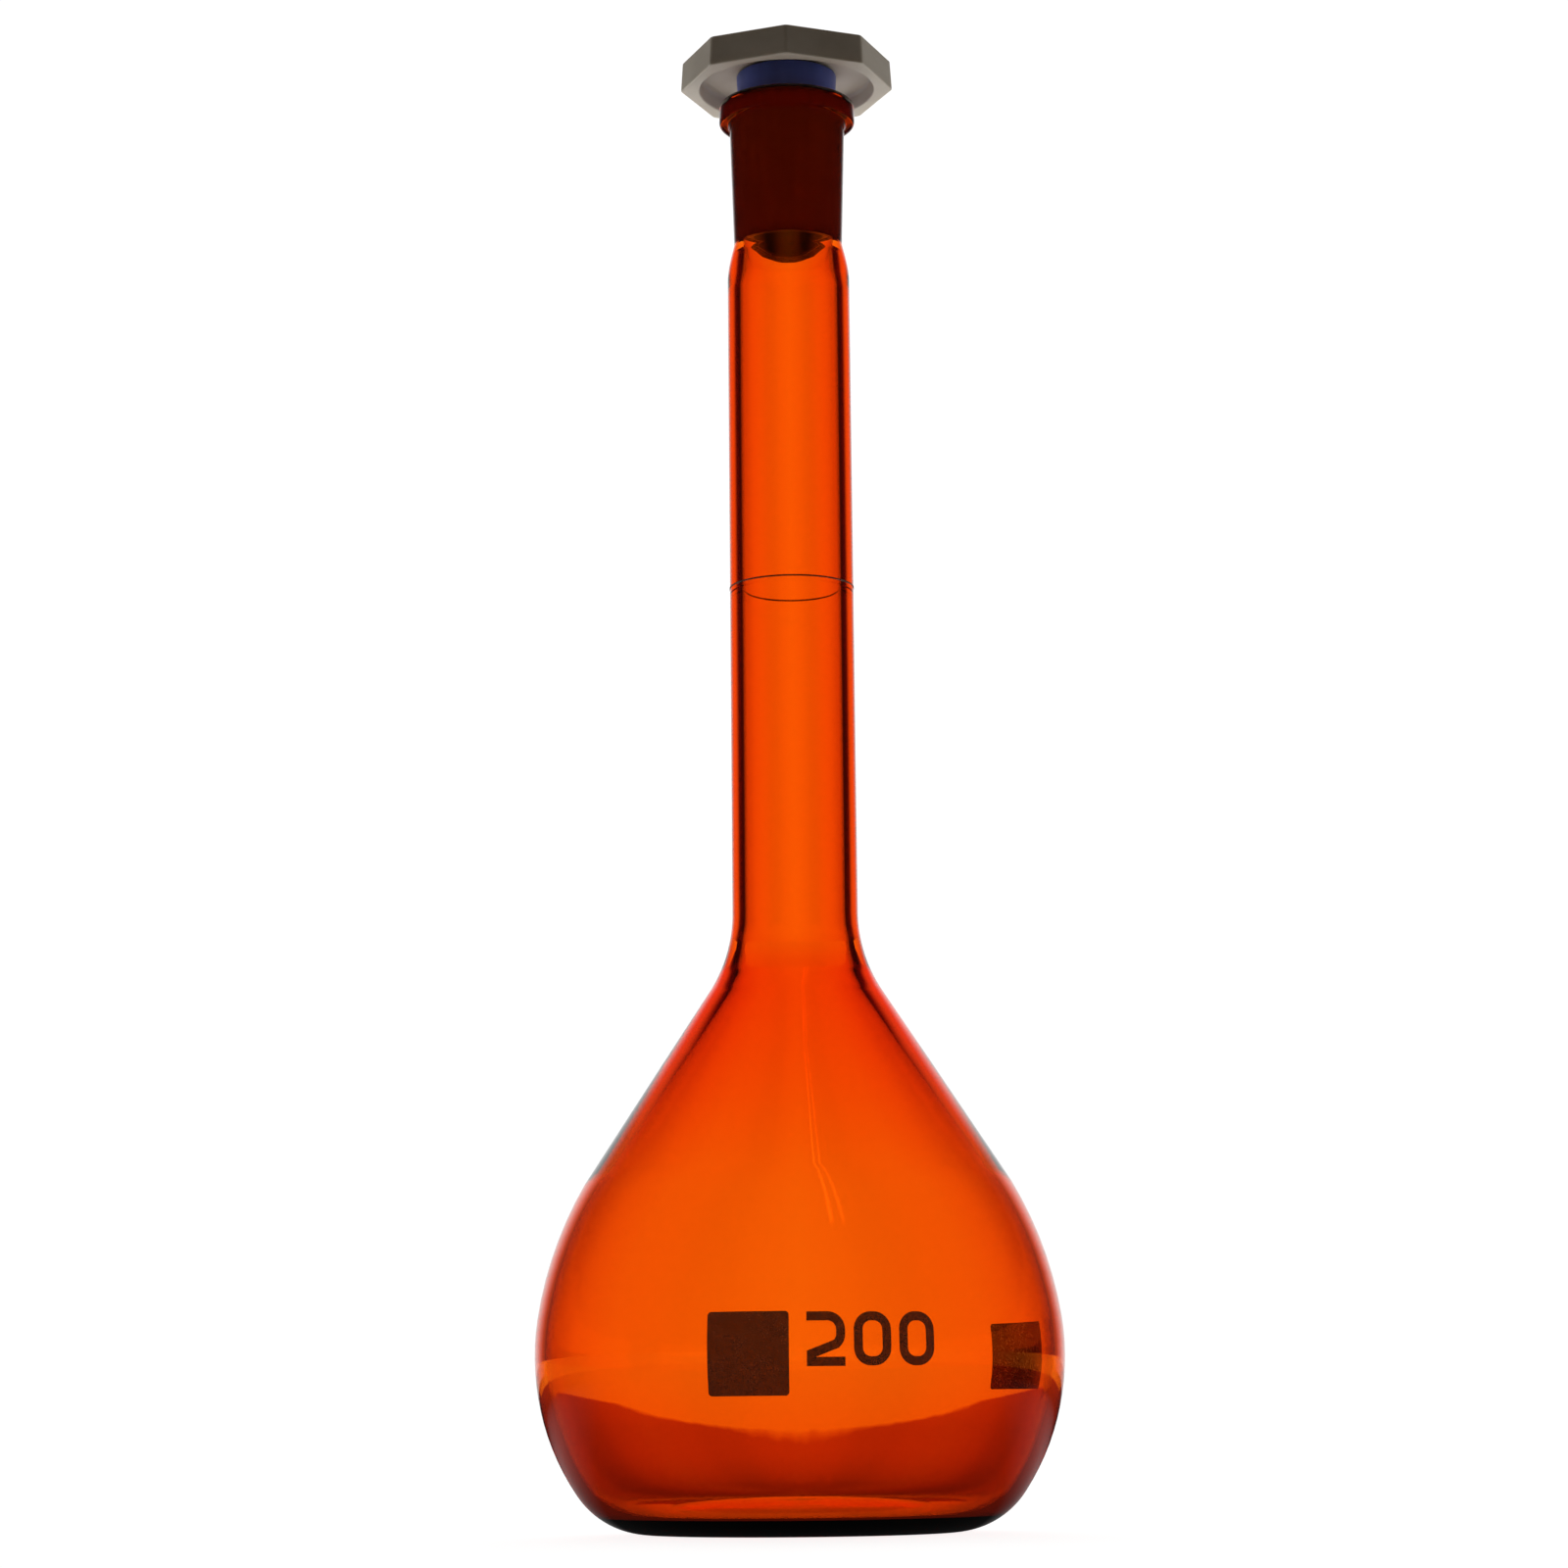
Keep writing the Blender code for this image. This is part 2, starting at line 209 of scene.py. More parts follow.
def finished(name, shape):
    """The built faces as an object of their own, facing outwards."""
    bmesh.ops.recalc_face_normals(shape, faces=shape.faces)
    mesh = bpy.data.meshes.new(name)
    shape.to_mesh(mesh)
    shape.free()
    made = bpy.data.objects.new(name, mesh)
    bpy.context.scene.collection.objects.link(made)
    return made


def lathe(name, line, sides, closed=False):
    """Turn an outline of (radius, height) round the axis, the solid on its left as it runs."""
    shape = bmesh.new()
    turns = [2 * pi * i / sides for i in range(sides)]
    rings = []
    for radius, height in line:
        if radius < 1e-6:
            rings.append([shape.verts.new((0, 0, height))])
        else:
            rings.append([shape.verts.new((radius * cos(t), radius * sin(t), height)) for t in turns])
    pairs = list(zip(rings, rings[1:] + rings[:1])) if closed else list(zip(rings, rings[1:]))
    for near, far in pairs:
        for i in range(sides):
            j = (i + 1) % sides
            corners = [near[i % len(near)], near[j % len(near)], far[j % len(far)], far[i % len(far)]]
            corners = [corner for k, corner in enumerate(corners) if corner is not corners[k - 1]]
            shape.faces.new(corners).smooth = True
    return finished(name, shape)


def feed(tree, slot, value):
    """Give a shader's input a link, if the value comes from a node, or else a constant."""
    if isinstance(value, Paint):
        tree.links.new(value.socket, slot)
    else:
        slot.default_value = value


class Paint:
    """A shader socket that sums and multiplies like a number, adding its own Math nodes."""

    def __init__(self, tree, socket):
        self.tree = tree
        self.socket = socket

    def maths(self, operation, *values):
        node = self.tree.nodes.new("ShaderNodeMath")
        node.operation = operation
        for slot, value in zip(node.inputs, values):
            feed(self.tree, slot, value)
        return Paint(self.tree, node.outputs[0])

    def __add__(self, other):
        return self.maths("ADD", self, other)

    def __sub__(self, other):
        return self.maths("SUBTRACT", self, other)

    def __rsub__(self, other):
        return self.maths("SUBTRACT", other, self)

    def __mul__(self, other):
        return self.maths("MULTIPLY", self, other)

    def __pow__(self, other):
        return self.maths("POWER", self, other)

    def clamped(self):
        held = self.maths("ADD", self, 0.0)
        held.socket.node.use_clamp = True
        return held

    __radd__ = __add__
    __rmul__ = __mul__


class Finish:
    """A material in the making: its tree, its Principled shader and a way to add nodes."""

    def __init__(self, of):
        self.material = bpy.data.materials.new(of) if isinstance(of, str) else of
        self.material.use_nodes = True
        self.tree = self.material.node_tree
        self.shader = self.tree.nodes.get("Principled BSDF")
        self.output = next(node for node in self.tree.nodes if node.name.endswith("Output"))

    def node(self, kind, settings=None, out=0, **values):
        """Add a node: its settings first, then a value or a Paint for each socket.

        A socket goes by its name, or as S and its number where several share one name.
        """
        made = self.tree.nodes.new("ShaderNode" + kind)
        for key, value in (settings or {}).items():
            if key == "stops":
                for stop, (place, colour) in zip(self.stops(made, len(value)), value):
                    stop.position = place
                    stop.color = (*colour, 1)
            else:
                setattr(made, key, value)
        for key, value in values.items():
            numbered = key[1:].isdigit()
            slot = made.inputs[int(key[1:]) if numbered else key.replace("_", " ")]
            feed(self.tree, slot, value)
        return Paint(self.tree, made.outputs[out])

    def stops(self, ramp, count):
        while len(ramp.color_ramp.elements) < count:
            ramp.color_ramp.elements.new(0.5)
        return ramp.color_ramp.elements

    def put(self, **values):
        """Set the shader's own sockets."""
        for key, value in values.items():
            feed(self.tree, self.shader.inputs[key.replace("_", " ")], value)

    def place(self, scale=(1, 1, 1)):
        """The piece's own coordinates, stretched by a scale along each axis."""
        spot = self.node("TexCoord", out="Object")
        return self.node("Mapping", {"vector_type": "POINT"}, Vector=spot, Scale=scale)


def amber_glass():
    """Amber all through, with faint drawn streaks that bend the light."""
    finish = Finish("amber_glass")
    streaks = finish.node("TexNoise", {"noise_dimensions": "3D"}, Vector=finish.place((260, 260, 9)),
                          Scale=1.0, Detail=2.0, Roughness=0.5)
    normal = finish.node("Bump", Height=streaks, Strength=0.03, Distance=0.00012)
    finish.put(Base_Color=(0.80, 0.46, 0.12, 1), Roughness=0.0, IOR=1.473,
               Transmission_Weight=1.0, Normal=normal)
    absorb = finish.node("VolumeAbsorption", Color=(0.99, 0.667, 0.0, 1), Density=1035.0)
    finish.tree.links.new(absorb.socket, finish.output.inputs["Volume"])
    return finish.material


flask_outline = thinned(outside, least_bend, longest_run)
flask_outline += thinned(inside, least_bend, longest_run)[::-1]
vessel = lathe("vessel", flask_outline, vessel_sides)
vessel.data.materials.append(amber_glass())
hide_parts("flask_glass")
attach(vessel, "flask")


def ground_glass_painted_shade():
    """Face of the joint, ground matt with carborundum, that scatters what reaches it; its dark, mostly
    opaque tone is painted shade that darkens the socket and collar.
    """
    finish = Finish("ground_glass_painted_shade")
    grit = finish.node("TexNoise", Vector=finish.place(), Scale=9000.0, Detail=3.0, Roughness=0.7)
    turned = finish.node("TexNoise", Vector=finish.place((900, 900, 60)), Scale=1.0,
                         Detail=2.0, Roughness=0.6)
    # painted shade: this dark red-brown band inside the socket darkens the collar in place of its real
    # shade
    tones = ((0.3, (0.125, 0.033, 0.02)), (0.7, (0.165, 0.045, 0.028)))
    shade = finish.node("ValToRGB", {"stops": tones}, Fac=turned)
    cover = (grit * 0.2 + 0.66).clamped()
    finish.put(Base_Color=shade, Roughness=0.8, Alpha=cover, Specular_IOR_Level=0.0)
    return finish.material


ground_skin = 0.00004          # how deep the grinding marks the glass
ground_margin = 0.0003         # left bright below the rim
ground_sides = 128
ground_top = rim_height - ground_margin
ground_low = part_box("stopper_plug")[0].z
ground_line = [(joint_mouth - joint_lean * (rim_height - level) + ground_skin, level)
               for level in np.linspace(ground_low, ground_top, 12)]
ground_line += [(radius + ground_skin, level) for radius, level in ground_line[::-1]]
ground = lathe("ground_zone_painted_shade", ground_line, ground_sides, closed=True)
ground.data.materials.append(ground_glass_painted_shade())
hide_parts("flask_glass")
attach(ground, "flask")

# ------------------------------------------------------------------ graduation ring and marks
# Enamel, screen-printed and fired on: a line round the neck at the flask's capacity, and a
# square for notes with plain numerals beside it on the front. A stippled field is on the back.
# The enamel is white; its dark brown here is painted shade, the print seen with the light behind it.
enamel_lift = 0.00001          # off the glass, so that the two skins stay apart
enamel_thick = 0.00004
ring_low, ring_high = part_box("graduation_ring")
ring_width = 0.00024
ring_sides = 192
field_corner = 0.0005
figure_stroke = 0.00118
figure_width = 0.0050
figure_corner = 0.0017         # bend of a numeral's stroke, along its middle
stroke_pitch = 0.0005
bulb_heights = np.array([height for radius, height in bulb])
bulb_radii = np.array([radius for radius, height in bulb])


def brown_enamel():
    """Dull fired-on enamel, a little thinner where the screen's mesh and brush left it so; its dark
    brown is painted shade, white print seen with the light behind it.
    """
    finish = Finish("brown_enamel")
    grain = finish.node("TexNoise", Vector=finish.place(), Scale=5200.0, Detail=3.0, Roughness=0.6)
    drift = finish.node("TexNoise", Vector=finish.place(), Scale=420.0, Detail=2.0, Roughness=0.5)
    # painted shade: white enamel seen with the light behind it, coloured dark brown
    tones = ((0.3, (0.07, 0.034, 0.018)), (0.7, (0.14, 0.07, 0.04)))
    shade = finish.node("ValToRGB", {"stops": tones}, Fac=(grain * 0.5 + drift * 0.5))
    cover = (grain * 0.12 + 0.68).clamped()
    finish.put(Base_Color=shade, Roughness=drift * 0.25 + 0.45, Alpha=cover)
    return finish.material


def stippled_enamel_painted_dark():
    """The same enamel laid down as fine dots, its near-black tone painted shade as well."""
    finish = Finish("stippled_enamel_painted_dark")
    dots = finish.node("TexVoronoi", {"feature": "F1"}, Vector=finish.place(), Scale=3600.0,
                       Randomness=1.0)
    patchy = finish.node("TexNoise", Vector=finish.place(), Scale=900.0, Detail=2.0, Roughness=0.6)
    cover = ((patchy * 0.7 + 0.42 - dots) * 6.0).clamped()
    # painted shade: near-black dots for white enamel seen through the glass with the light behind it
    tones = ((0.3, (0.012, 0.008, 0.006)), (0.7, (0.035, 0.022, 0.015)))
    shade = finish.node("ValToRGB", {"stops": tones}, Fac=patchy)
    finish.put(Base_Color=shade, Roughness=0.6, Alpha=cover * 0.33 + 0.64)
    return finish.material


enamel = brown_enamel()
ring_in = neck_radius + enamel_lift
ring_out = ring_in + enamel_thick
ring_level = (ring_low.z + ring_high.z) / 2
ring_under = ring_level - ring_width / 2
ring_over = ring_level + ring_width / 2
ring_section = [(ring_out, ring_under), (ring_out, ring_over),
                (ring_in, ring_over), (ring_in, ring_under)]
ring = lathe("ring_line", ring_section, ring_sides, closed=True)
ring.data.materials.append(enamel)
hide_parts("graduation_ring")
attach(ring, "flask")


def on_bulb(across, level, lift):
    """A point on the bulb, across round it from the front and lift off the glass."""
    turn = across / body_radius
    radius = np.interp(level, bulb_heights, bulb_radii) + lift
    return (radius * sin(turn), -radius * cos(turn), level)


def laid_on(name, rows, closed=False):
    """A thin skin on the bulb over rows of (across, level); closed joins its two ends."""
    shape = bmesh.new()
    sides = [[[shape.verts.new(on_bulb(across, level, lift)) for across, level in row] for row in rows]
             for lift in (enamel_lift, enamel_lift + enamel_thick)]
    count = len(rows)
    width = len(rows[0])
    for i in range(count if closed else count - 1):
        here = i
        after = (i + 1) % count
        for j in range(width - 1):
            for side in sides:
                shape.faces.new((side[here][j], side[here][j + 1],
                                 side[after][j + 1], side[after][j]))
        for j in (0, width - 1):
            shape.faces.new((sides[0][here][j], sides[1][here][j],
                             sides[1][after][j], sides[0][after][j]))
    for i in (() if closed else (0, count - 1)):
        for j in range(width - 1):
            shape.faces.new((sides[0][i][j], sides[0][i][j + 1],
                             sides[1][i][j + 1], sides[1][i][j]))
    made = finished(name, shape)
    made.data.shade_smooth()
    made.data.set_sharp_from_angle(angle=radians(40))
    return made


def field_of(node):
    """Rows of a rounded field that fills a printed node's own place."""
    low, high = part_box(node)
    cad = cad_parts[node].data.vertices
    turns = [atan2(vertex.co.x, -vertex.co.y) for vertex in cad]
    left = min(turns) * body_radius
    right = max(turns) * body_radius
    straight = (high.z - low.z) / 2 - field_corner
    bends = [straight + field_corner * sin(t) for t in np.linspace(upright, 0, 7)]
    rises = [-rise for rise in bends]
    rises += list(np.linspace(-straight, straight, 22)[1:-1])
    rises += bends[::-1]
    rows = []
    for rise in rises:
        past = max(0.0, abs(rise) - straight)
        drawn_in = field_corner - sqrt(max(0.0, field_corner ** 2 - past ** 2))
        level = (low.z + high.z) / 2 + rise
        places = np.linspace(left + drawn_in, right - drawn_in, 30)
        rows.append([(across, level) for across in places])
    return rows


def add_mark(name, node, rows, finish, closed=False):
    """Fire a mark on the bulb in the place of its node."""
    made = laid_on(name, rows, closed)
    made.data.materials.append(finish)
    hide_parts(node)
    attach(made, "flask")


def stroke(path, width, closed):
    """Rows of two points either side of a path, mitred at its bends."""
    count = len(path)
    rows = []
    for i, here in enumerate(path):
        here = np.array(here)
        before = np.array(path[i - 1]) if i or closed else None
        after = np.array(path[(i + 1) % count]) if i < count - 1 or closed else None
        came = here - before if before is not None else after - here
        goes = after - here if after is not None else came
        came = came / np.hypot(*came)
        goes = goes / np.hypot(*goes)
        across = np.array((-(came + goes)[1], (came + goes)[0]))
        across /= np.hypot(*across)
        reach = width / 2 / max(0.3, across @ np.array((-came[1], came[0])))
        rows.append([tuple(here + side * across * reach) for side in np.linspace(1, -1, 4)])
    return rows


def figure_rows(node, path_of, closed):
    """A numeral's stroke, drawn to fill the place its node has on the bulb."""
    low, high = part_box(node)
    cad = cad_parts[node].data.vertices
    right = max(atan2(vertex.co.x, -vertex.co.y) for vertex in cad) * body_radius
    left = right - figure_width
    half_width = (right - left - figure_stroke) / 2
    half_height = (high.z - low.z - figure_stroke) / 2
    centre = ((left + right) / 2, (low.z + high.z) / 2)
    path = [(centre[0] + x, centre[1] + y) for x, y in path_of(half_width, half_height)]
    return stroke(path, figure_stroke, closed)


def bend(centre, radius, turn_from, turn_to, count=9):
    """Points along an arc round a centre, between two turns in degrees."""
    turns = np.radians(np.linspace(turn_from, turn_to, count))
    return [(centre[0] + radius * cos(t), centre[1] + radius * sin(t)) for t in turns]


def spaced(path, pitch, closed):
    """The same path with no gap longer than pitch, so that it follows the curve of the bulb."""
    out = []
    for here, after in zip(path, path[1:] + path[:1] if closed else path[1:]):
        steps = max(1, int(np.ceil(np.hypot(after[0] - here[0], after[1] - here[1]) / pitch)))
        across = after[0] - here[0]
        up = after[1] - here[1]
        out += [(here[0] + across * k / steps, here[1] + up * k / steps) for k in range(steps)]
    return out if closed else out + [path[-1]]


def zero(half_width, half_height):
    """A rounded oblong, drawn as one closed stroke."""
    x = half_width - figure_corner
    y = half_height - figure_corner
    path = []
    for centre, start in (((x, y), 0), ((-x, y), 90), ((-x, -y), 180), ((x, -y), 270)):
        path += bend(centre, figure_corner, start, start + 90)
    return spaced(path, stroke_pitch, True)


def two(half_width, half_height):
    """Flat top, a bend on the right, a slope down to the left and a flat base."""
    x = half_width - figure_corner
    y = half_height - figure_corner
    past = half_width + figure_stroke / 2
    path = [(-past, half_height)] + bend((x, y), figure_corner, 90, 0)
    path += bend((x, y * 0.5), figure_corner, 0, -48)
    path += [(-half_width, -half_height * 0.66), (-half_width, -half_height), (past, -half_height)]
    return spaced(path, stroke_pitch, False)


add_mark("note_square", "writing_square", field_of("writing_square"), enamel)
add_mark("stippled_field", "speckled_patch", field_of("speckled_patch"), stippled_enamel_painted_dark())
add_mark("numeral_two", "figure_two", figure_rows("figure_two", two, False), enamel)
for side in ("left", "right"):
    zero_node = "figure_zero_" + side
    add_mark("numeral_zero_" + side, zero_node, figure_rows(zero_node, zero, True), enamel,
             closed=True)

# ------------------------------------------------------------------ stopper plug
# Hollow blue polyethylene plug, moulded open at its lower end, on the socket's 1:10 taper.
# A short stub on top, hidden in the cap, holds the cap.
plug_low, plug_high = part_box("stopper_plug")
plug_wall = 0.0010
plug_nose = 0.0009             # rounding of the lower lip
stub_radius = 0.0040
stub_length = 0.0010
plug_top = plug_high.z - stub_length
plug_radius_top = plug_high.x
plug_radius_low = plug_radius_top - joint_lean * (plug_top - plug_low.z)
plug_lip = plug_radius_low - plug_nose * 1.3     # inner edge of the lower lip
plug_pitch = 0.00008
plug_melt = 0.00012
plug_least_bend = radians(4)
plug_sides = 128


def blue_plastic():
    """Deep blue polyethylene with a soft moulded skin."""
    finish = Finish("blue_plastic")
    skin = finish.node("TexNoise", Vector=finish.place(), Scale=1800.0, Detail=3.0, Roughness=0.6)
    flow = finish.node("TexNoise", Vector=finish.place((300, 300, 40)), Scale=1.0, Detail=2.0,
                       Roughness=0.5)
    tones = ((0.3, (0.035, 0.06, 0.27)), (0.7, (0.055, 0.09, 0.38)))
    shade = finish.node("ValToRGB", {"stops": tones}, Fac=flow)
    normal = finish.node("Bump", Height=skin, Strength=0.15, Distance=0.00003)
    finish.put(Base_Color=shade, Roughness=skin * 0.2 + 0.28, Normal=normal, IOR=1.5)
    return finish.material


plug_outline = [(0, plug_high.z), (stub_radius, plug_high.z), (stub_radius, plug_top),
                (plug_radius_top, plug_top), (plug_radius_low, plug_low.z + plug_nose),
                (plug_radius_low - plug_nose * 0.35, plug_low.z + plug_nose * 0.3),
                (plug_radius_low - plug_nose, plug_low.z), (plug_lip, plug_low.z),
                (plug_lip, plug_low.z + plug_nose),
                (plug_radius_top - plug_wall, plug_top - plug_wall), (0, plug_top - plug_wall)]
plug_outline = softened(plug_outline, plug_pitch, plug_melt)
plug_outline = thinned(plug_outline, plug_least_bend, longest_run)
plug = lathe("plug_body", plug_outline, plug_sides)
plug.data.materials.append(blue_plastic())
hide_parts("stopper_plug")
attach(plug, "plug")

# ------------------------------------------------------------------ stopper cap
# Grey polyethylene head with eight flat sides to grip, moulded with a round recess underneath
# and pressed on the plug. Its sides draw in a little towards the top, where the gate was.
cap_low, cap_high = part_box("stopper_cap")
cap_sides = 8
cap_corner = cap_high.x
cap_flat = cap_corner * cos(pi / cap_sides)
cap_draft = 0.00023
cap_edge = 0.00022             # rounding of the moulded edges
cap_rim = 0.0016
cap_plate = 0.0020
cap_round = 0.0009             # rounding of the eight upright edges
cap_fillet = cap_edge * 3      # between the recess's wall and its ceiling
stub_play = 0.0003
gate_mark = ((0.0062, 0), (0.0018, 0), (0.0015, 0.00018), (0.0007, 0.00018),
             (0.00055, 0.00004), (0.0002, 0.00002))    # radius, and depth below the top


def eight_sided(flat, count=6):
    """An octagon with rounded corners, one to the front, whose flats lie at a distance flat."""
    inner = (flat - cap_round) / cos(pi / cap_sides)
    half = pi / cap_sides
    points = []
    for side in range(cap_sides):
        middle = -upright + 2 * half * side
        heart = (inner * cos(middle), inner * sin(middle))
        points += [(heart[0] + cap_round * cos(t), heart[1] + cap_round * sin(t))
                   for t in np.linspace(middle - half, middle + half, count)]
    spread = []
    for here, after in zip(points, points[1:] + points[:1]):
        across = after[0] - here[0]
        up = after[1] - here[1]
        steps = 8 if np.hypot(across, up) > cap_round else 1
        spread += [(here[0] + across * k / steps, here[1] + up * k / steps) for k in range(steps)]
    return spread


def loft(name, layers):
    """Skin over closed outlines of equal count, each (points, height), capped at both ends."""
    shape = bmesh.new()
    rings = [[shape.verts.new((x, y, height)) for x, y in points] for points, height in layers]
    for near, far in zip(rings, rings[1:]):
        for i in range(len(near)):
            j = (i + 1) % len(near)
            shape.faces.new((near[i], near[j], far[j], far[i]))
    for ends in (rings[0], rings[-1]):
        shape.faces.new(ends)
    return finished(name, shape)


def cap_layers():
    """From the hole for the stub out over the recess and rim, up the sides and over the top."""
    base = cap_low.z
    top = cap_high.z
    ceiling = top - cap_plate
    angles = [atan2(y, x) for x, y in eight_sided(cap_flat)]
    recess = cap_flat - cap_rim
    upper_flat = cap_flat - cap_draft
    quarter = np.linspace(0, upright, 5)

    def ring(radius, height):
        return ([(radius * cos(t), radius * sin(t)) for t in angles], height)

    hole = stub_radius + stub_play
    layers = [ring(hole, ceiling + stub_length + stub_play), ring(hole, ceiling)]
    layers += [ring(recess - cap_fillet * (1 - sin(t)), ceiling - cap_fillet * (1 - cos(t)))
               for t in quarter]
    layers += [ring(recess + cap_edge * (1 - cos(t)), base + cap_edge * (1 - sin(t)))
               for t in quarter]
    layers += [(eight_sided(cap_flat - cap_edge * (1 - sin(t))), base + cap_edge * (1 - cos(t)))
               for t in quarter]
    layers += [(eight_sided(upper_flat - cap_edge * (1 - cos(t))), top - cap_edge * (1 - sin(t)))
               for t in quarter]
    layers += [ring(radius, top - depth) for radius, depth in gate_mark]
    return layers


def grey_plastic():
    """Warm grey, slightly see-through polyethylene with a fine spark-eroded grain."""
    finish = Finish("grey_plastic")
    grain = finish.node("TexNoise", Vector=finish.place(), Scale=3500.0, Detail=4.0, Roughness=0.65)
    flow = finish.node("TexNoise", Vector=finish.place((90, 90, 160)), Scale=1.0, Detail=3.0,
                       Roughness=0.55)
    tones = ((0.3, (0.40, 0.347, 0.275)), (0.7, (0.49, 0.437, 0.36)))
    shade = finish.node("ValToRGB", {"stops": tones}, Fac=flow)
    normal = finish.node("Bump", Height=grain, Strength=0.25, Distance=0.00002)
    finish.put(Base_Color=shade, Roughness=grain * 0.2 + 0.36, Normal=normal, IOR=1.5,
               Subsurface_Weight=0.25, Subsurface_Radius=(1.0, 0.85, 0.7),
               Subsurface_Scale=0.0016)
    return finish.material


cap = loft("cap_head", cap_layers())
cap.data.shade_smooth()
cap.data.set_sharp_from_angle(angle=radians(35))
even = cap.modifiers.new("even_faces", "WEIGHTED_NORMAL")
even.keep_sharp = True
cap.data.materials.append(grey_plastic())
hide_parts("stopper_cap")
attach(cap, "cap")

# ------------------------------------------------------------------ floor, light and camera
# A pale table under soft studio panels, with the camera low in front, looking slightly up.
# Light that has come through the glass meets a duller, warmer table, painted darker round the
# flask's foot as a painted shadow, and panels with dim gaps between them, which draw the dark
# lines in the glass.
eye_distance = 0.5198
eye_height = 0.0139
look_up = radians(9.87)
look_right = radians(-0.153)
roll = radians(-0.58)
lens = 85.3

table_reach = 30
table_drop = 0.0002            # below the foot
table_seen = 0.9
table_edge = 0.439             # where the table ends for light through the glass, straight behind
edge_curve = 1.1               # how fast that edge comes nearer to either side
edge_most = 0.21
edge_crisp = 50
beyond_glow = 1.5
# painted shadow: the table seen through the glass darkens towards the flask's foot
table_painted_shadow = ((0.0, 0.06), (0.05, 0.11), (0.1, 0.24), (0.16, 0.35), (0.24, 0.40),
              (0.4, 0.54), (0.52, 0.62), (0.68, 0.70), (0.86, 0.80))
far_mirror = 0.72              # the table mirrors in the glass from beyond this
far_spread = radians(38)
far_shine = 0.9
near_mirror = 0.2              # and from within this, behind the foot
near_spread = radians(50)
near_shine = 0.18
least_shine = 0.01
rear_glow = 3.0                # what the table lends to the rest, from behind the flask
front_glow = 0.02

panel_fade = ((0.0, (1.0, 1.0, 1.0)), (0.14, (0.96, 0.83, 0.8)), (0.22, (0.92, 0.72, 0.65)),
              (0.36, (0.85, 0.59, 0.5)), (0.51, (0.72, 0.45, 0.4)), (0.62, (0.48, 0.3, 0.25)),
              (0.7, (0.26, 0.14, 0.1)), (0.78, (0.08, 0.03, 0.02)),
              (0.86, (0.012, 0.004, 0.002)))
room_tint = ((0.0, (1.0, 0.62, 0.34)), (0.5, (1.0, 0.97, 0.93)), (0.6, (1.0, 1.0, 1.0)))
mirror_fade = ((0.0, 1.0), (0.05, 0.85), (0.12, 0.58), (0.15, 0.28), (0.18, 0.05),
               (0.27, 0.01), (1.0, 0.008))
mirror_gain = 1.1
panel_glow = 1.6
backdrop_seen = 1.05
room_glow = 2.2                # from behind, on surfaces that scatter light
room_least = 0.022
overhead_glow = 0.10
lamp_turns = (radians(20), radians(27), radians(36))
lamp_low = radians(45)
lamp_high = radians(80)
lamp_spread = radians(1.8)
lamp_power = 16.0


def greys(fade):
    """A fade's levels as the stops of a grey ramp."""
    return [(place, (level,) * 3) for place, level in fade]


def add_camera():
    """Low in front of the flask, looking slightly up at it."""
    data = bpy.data.cameras.new("camera")
    data.lens = lens
    data.clip_start = 0.01
    made = bpy.data.objects.new("camera", data)
    bpy.context.scene.collection.objects.link(made)
    made.location = (0, -eye_distance, eye_height)
    turned = Matrix.Rotation(-look_right, 4, "Z") @ Matrix.Rotation(upright + look_up, 4, "X")
    made.rotation_euler = (turned @ Matrix.Rotation(roll, 4, "Z")).to_euler()
    bpy.context.scene.camera = made


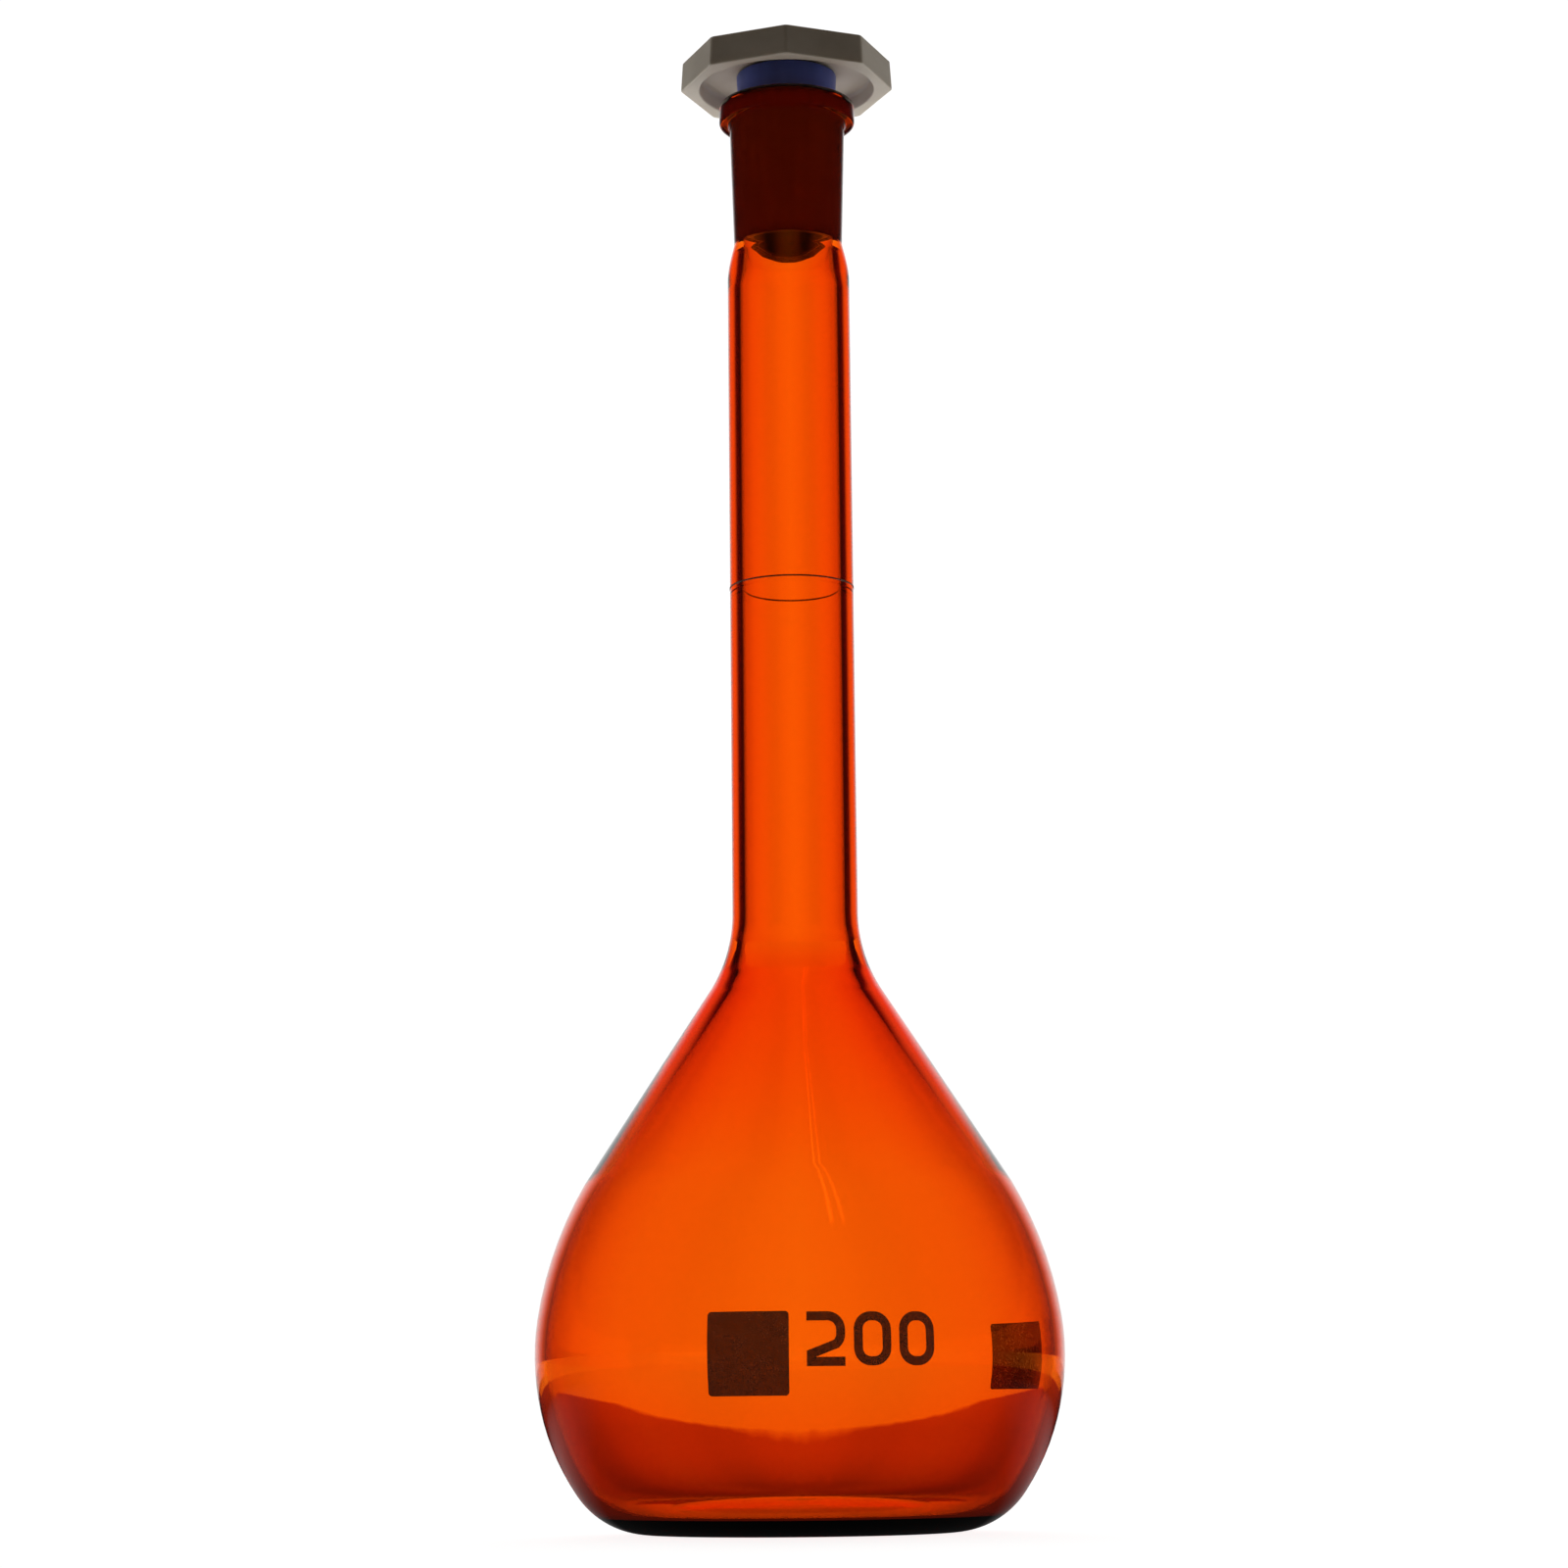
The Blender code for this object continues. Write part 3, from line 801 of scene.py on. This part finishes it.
def add_floor():
    """Pale table that fades into the backdrop; through the glass it is duller and redder than that,
    with a painted shadow darkening it towards the foot.
    """
    mesh = bpy.data.meshes.new("table")
    corners = [(-table_reach, -table_reach, 0), (table_reach, -table_reach, 0),
               (table_reach, table_reach, 0), (-table_reach, table_reach, 0)]
    mesh.from_pydata(corners, [], [(0, 1, 2, 3)])
    table = bpy.data.objects.new("table", mesh)
    bpy.context.scene.collection.objects.link(table)
    table.location.z = -table_drop
    finish = Finish("pale_table")
    spot = finish.node("TexCoord", out="Object")
    x = finish.node("SeparateXYZ", out="X", Vector=spot)
    y = finish.node("SeparateXYZ", out="Y", Vector=spot)
    turn = x.maths("ARCTAN2", x, y)
    turn_size = turn.maths("ABSOLUTE", turn)
    away = (x * x + y * y) ** 0.5
    camera, glossy, passed = (finish.node("LightPath", out="Is %s Ray" % kind)
                              for kind in ("Camera", "Glossy", "Transmission"))
    # what shows through the glass: the table, painted darker towards the foot as a shadow, then the
    # backdrop beyond a curved edge
    edge = table_edge - turn.maths("MINIMUM", turn * turn * edge_curve, edge_most)
    beyond = ((away - edge) * edge_crisp).clamped()
    painted_shadow_near_foot = finish.node("ValToRGB", {"stops": greys(table_painted_shadow)}, Fac=away * 2)
    through = painted_shadow_near_foot + beyond * (beyond_glow - painted_shadow_near_foot)
    # what mirrors in the glass: the far table in the middle, and the near table behind the foot
    narrow = (turn_size * (-1 / far_spread) + 1).clamped()
    beside = (turn_size * (-1 / near_spread) + 2).clamped()
    mirror = ((away - far_mirror) * 6).clamped() * narrow * far_shine
    mirror = mirror + ((near_mirror - away) * 8).clamped() * beside * near_shine + least_shine
    # what lights the rest of the object: the table behind it
    lit = (y * 4).clamped() * rear_glow + front_glow
    glow = lit + glossy * (mirror - lit)
    glow = glow + passed * (through - glow)
    glow = glow + camera * (table_seen - glow)
    # the table's own colour drops nearly to black for rays in or through the glass, so there only its
    # painted glow shows
    shade = 0.4 - (glossy + passed) * 0.39
    tint = finish.node("CombineColor", Red=shade, Green=shade, Blue=shade)
    # through the glass, the table is also painted redder
    warm = finish.node("Mix", {"data_type": "RGBA"}, out=2, S0=(passed * (1 - beyond)),
                       S6=(1, 1, 1, 1), S7=(1, 0.38, 0.3, 1))
    shining = finish.node("VectorMath", {"operation": "SCALE"}, Vector=warm, Scale=glow)
    finish.put(Base_Color=tint, Roughness=0.9, Emission_Color=shining, Emission_Strength=1.0,
               Specular_IOR_Level=0.0)
    mesh.materials.append(finish.material)


def add_sky():
    """Even studio light: soft panels all round, brightest behind, with dim gaps between them."""
    world = bpy.data.worlds.new("studio")
    bpy.context.scene.world = world
    world.use_nodes = True
    studio = Finish(world)
    direction = studio.node("TexCoord", out="Generated")
    x, y, z = (studio.node("SeparateXYZ", out=axis, Vector=direction) for axis in "XYZ")
    seen, passed, shone = (studio.node("LightPath", out="Is %s Ray" % kind)
                           for kind in ("Camera", "Transmission", "Glossy"))
    turn = x.maths("ARCTAN2", x, y)
    turn_size = turn.maths("ABSOLUTE", turn)
    aside = turn.maths("PINGPONG", turn_size, pi / 4) * (4 / pi)
    panel = studio.node("ValToRGB", {"stops": panel_fade}, Fac=aside)
    # narrow lamps in front, seen only by light that the glass has bent once or twice
    facing = x.maths("ARCTAN2", x, y * -1)
    level = ((z - sin(lamp_low)) * 30).clamped() * ((sin(lamp_high) - z) * 60).clamped()
    level = level * (studio.node("LightPath", out="Transmission Depth") * -1 + 3).clamped()
    lamps = 0
    for lamp_turn in lamp_turns:
        aim = facing - lamp_turn
        beam = (1 - aim.maths("ABSOLUTE", aim) * (1 / lamp_spread)).clamped()
        lamps = lamps + beam * level * lamp_power
    mirror = studio.node("ValToRGB", {"stops": greys(mirror_fade)},
                         Fac=(turn_size * (1 / pi)).clamped()) * mirror_gain
    behind = (y * 0.5 + 0.5).clamped()
    ambient = behind ** 5 * room_glow + room_least + (z * overhead_glow).clamped()
    strength = ambient + shone * (mirror - ambient)
    strength = strength + passed * (lamps + panel_glow - strength)
    strength = strength + seen * (backdrop_seen - strength)
    room = studio.node("ValToRGB", {"stops": room_tint}, Fac=behind)
    plain = studio.node("Mix", {"data_type": "RGBA"}, out=2, S0=seen, S6=room, S7=(1, 1, 1, 1))
    tint = studio.node("Mix", {"data_type": "RGBA"}, out=2, S0=passed, S6=plain, S7=panel)
    sky = studio.node("Background", Color=tint, Strength=strength)
    studio.tree.links.new(sky.socket, studio.output.inputs["Surface"])


add_camera()
add_floor()
add_sky()
bpy.context.scene.view_settings.view_transform = "Standard"
